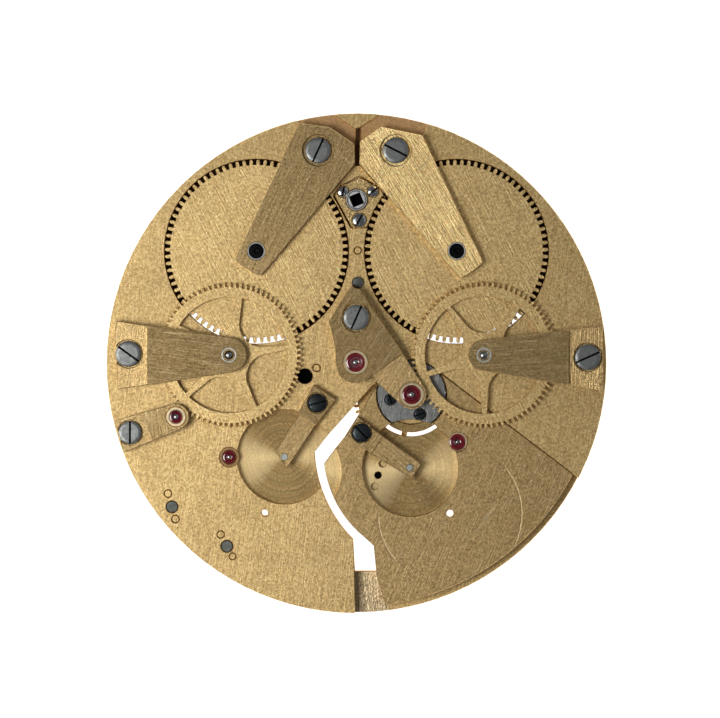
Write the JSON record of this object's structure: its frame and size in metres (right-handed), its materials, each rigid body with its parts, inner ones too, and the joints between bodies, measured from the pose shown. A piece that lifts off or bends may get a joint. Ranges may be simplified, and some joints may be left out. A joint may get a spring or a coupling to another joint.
{
  "type": "watch movement",
  "caption": "Round twin-train watch movement with two going barrels, cocked gear trains and a platform that swings about one arbor.",
  "frame": {"origin": "centre of the plate on its dial-side face, which rests on z = 0", "axes": "+Z out of the train side, +Y towards the two barrel cocks' screws, +X to the right seen from the train side"},
  "size_m": [0.05, 0.05, 0.0063],
  "materials": {
    "plate_brass": "fine matt grain, yellow brass",
    "platform_brass": "fine matt grain, a little browner",
    "cock_brass": "straight brushed lengthwise",
    "wheel_brass": "matt, crisp turned edges",
    "arbor_steel": "turned and polished",
    "screw_steel": "grey, lightly pitted",
    "blued_steel": "dark blued",
    "spring_steel": "tempered strip",
    "ruby": "polished synthetic ruby"
  },
  "bodies": {
    "root": {"main_plate": "plate_brass", "platform_cap": "arbor_steel", "barrel_bridge": "cock_brass", "left_barrel_cock": "cock_brass", "left_second_cock": "cock_brass", "left_escape_cock": "cock_brass", "right_barrel_cock": "cock_brass", "right_second_cock": "cock_brass", "left_third_cock": "cock_brass", "left_third_bar": "cock_brass", "right_third_bar": "cock_brass", "centre_cock": "cock_brass", "winding_plate": "cock_brass", "click_spring": "spring_steel", "centre_jewel": "ruby", "right_third_jewel": "ruby", "left_third_jewel": "ruby", "left_fourth_jewel": "ruby", "stop_pin": "arbor_steel", "left_barrel_cock_screw": "screw_steel", "right_barrel_cock_screw": "screw_steel", "centre_cock_screw": "screw_steel", "left_second_cock_screw": "screw_steel", "right_second_cock_screw": "screw_steel", "left_third_cock_screw": "screw_steel", "left_escape_cock_screw": "blued_steel", "winding_plate_screw_left": "screw_steel", "winding_plate_screw_right": "screw_steel", "winding_plate_screw_lower": "screw_steel", "platform_cap_screw_lower": "blued_steel", "platform_cap_screw_upper": "blued_steel", "barrel_bridge_screw_upper": "screw_steel", "barrel_bridge_screw_lower": "screw_steel", "click_screw": "screw_steel"},
    "platform": {"platform": "platform_brass", "right_fourth_jewel": "ruby", "right_escape_cock": "cock_brass", "right_escape_cock_screw": "blued_steel"},
    "winding_work": {"winding_arbor": "arbor_steel", "winding_wheel": "arbor_steel"},
    "click": {"click": "arbor_steel"},
    "centre_arbor": {"centre_arbor": "arbor_steel"},
    "left_barrel": {"left_barrel": "wheel_brass", "left_barrel_lid": "wheel_brass", "left_mainspring": "spring_steel"},
    "left_barrel_arbor": {"left_barrel_arbor": "arbor_steel", "left_ratchet_wheel": "arbor_steel"},
    "left_second": {"left_second_wheel": "wheel_brass", "left_second_arbor": "arbor_steel"},
    "left_third": {"left_third_wheel": "wheel_brass", "left_third_arbor": "arbor_steel"},
    "right_barrel": {"right_barrel": "wheel_brass", "right_barrel_lid": "wheel_brass", "right_mainspring": "spring_steel"},
    "right_barrel_arbor": {"right_barrel_arbor": "arbor_steel", "right_ratchet_wheel": "arbor_steel"},
    "right_second": {"right_second_wheel": "wheel_brass", "right_second_arbor": "arbor_steel"},
    "right_third": {"right_third_wheel": "wheel_brass", "right_third_arbor": "arbor_steel"}
  },
  "joints": [
    {"name": "platform_swing", "type": "hinge", "parent": "root", "child": "platform", "pos_m": [0.0055, -0.00312, 0], "axis": [0, 0, 1], "range_deg": [-3, 0]},
    {"name": "winding_spin", "type": "hinge", "parent": "root", "child": "winding_work", "pos_m": [0, 0.01633, 0], "axis": [0, 0, 1], "continuous": true},
    {"name": "click_lift", "type": "hinge", "parent": "root", "child": "click", "pos_m": [0.005, 0.021, 0], "axis": [0, 0, 1], "range_deg": [0, 8]},
    {"name": "left_barrel_spin", "type": "hinge", "parent": "root", "child": "left_barrel", "pos_m": [-0.01, 0.0112, 0], "axis": [0, 0, 1], "continuous": true},
    {"name": "left_barrel_arbor_spin", "type": "hinge", "parent": "root", "child": "left_barrel_arbor", "pos_m": [-0.01, 0.0112, 0], "axis": [0, 0, 1], "continuous": true},
    {"name": "left_second_spin", "type": "hinge", "parent": "root", "child": "left_second", "pos_m": [-0.0127, 0.00082, 0], "axis": [0, 0, 1], "continuous": true},
    {"name": "left_third_spin", "type": "hinge", "parent": "root", "child": "left_third", "pos_m": [-0.018, -0.00533, 0], "axis": [0, 0, 1], "continuous": true},
    {"name": "right_barrel_spin", "type": "hinge", "parent": "root", "child": "right_barrel", "pos_m": [0.01, 0.0112, 0], "axis": [0, 0, 1], "continuous": true},
    {"name": "right_barrel_arbor_spin", "type": "hinge", "parent": "root", "child": "right_barrel_arbor", "pos_m": [0.01, 0.0112, 0], "axis": [0, 0, 1], "continuous": true},
    {"name": "right_second_spin", "type": "hinge", "parent": "root", "child": "right_second", "pos_m": [0.0127, 0.00082, 0], "axis": [0, 0, 1], "continuous": true},
    {"name": "right_third_spin", "type": "hinge", "parent": "root", "child": "right_third", "pos_m": [0.0055, -0.00312, 0], "axis": [0, 0, 1], "continuous": true},
    {"name": "centre_arbor_spin", "type": "hinge", "parent": "root", "child": "centre_arbor", "pos_m": [-0.0001, 0.0001, 0], "axis": [0, 0, 1], "continuous": true}
  ],
  "couplings": [
    {"joint": "left_second_spin", "follows": "left_barrel_spin", "ratio": -5},
    {"joint": "left_third_spin", "follows": "left_barrel_spin", "ratio": 33.333},
    {"joint": "left_barrel_arbor_spin", "follows": "winding_spin", "ratio": -0.45},
    {"joint": "right_second_spin", "follows": "right_barrel_spin", "ratio": -5},
    {"joint": "right_third_spin", "follows": "right_barrel_spin", "ratio": 33.333},
    {"joint": "right_barrel_arbor_spin", "follows": "winding_spin", "ratio": -0.45},
    {"joint": "centre_arbor_spin", "follows": "right_barrel_spin", "ratio": -250}
  ]
}
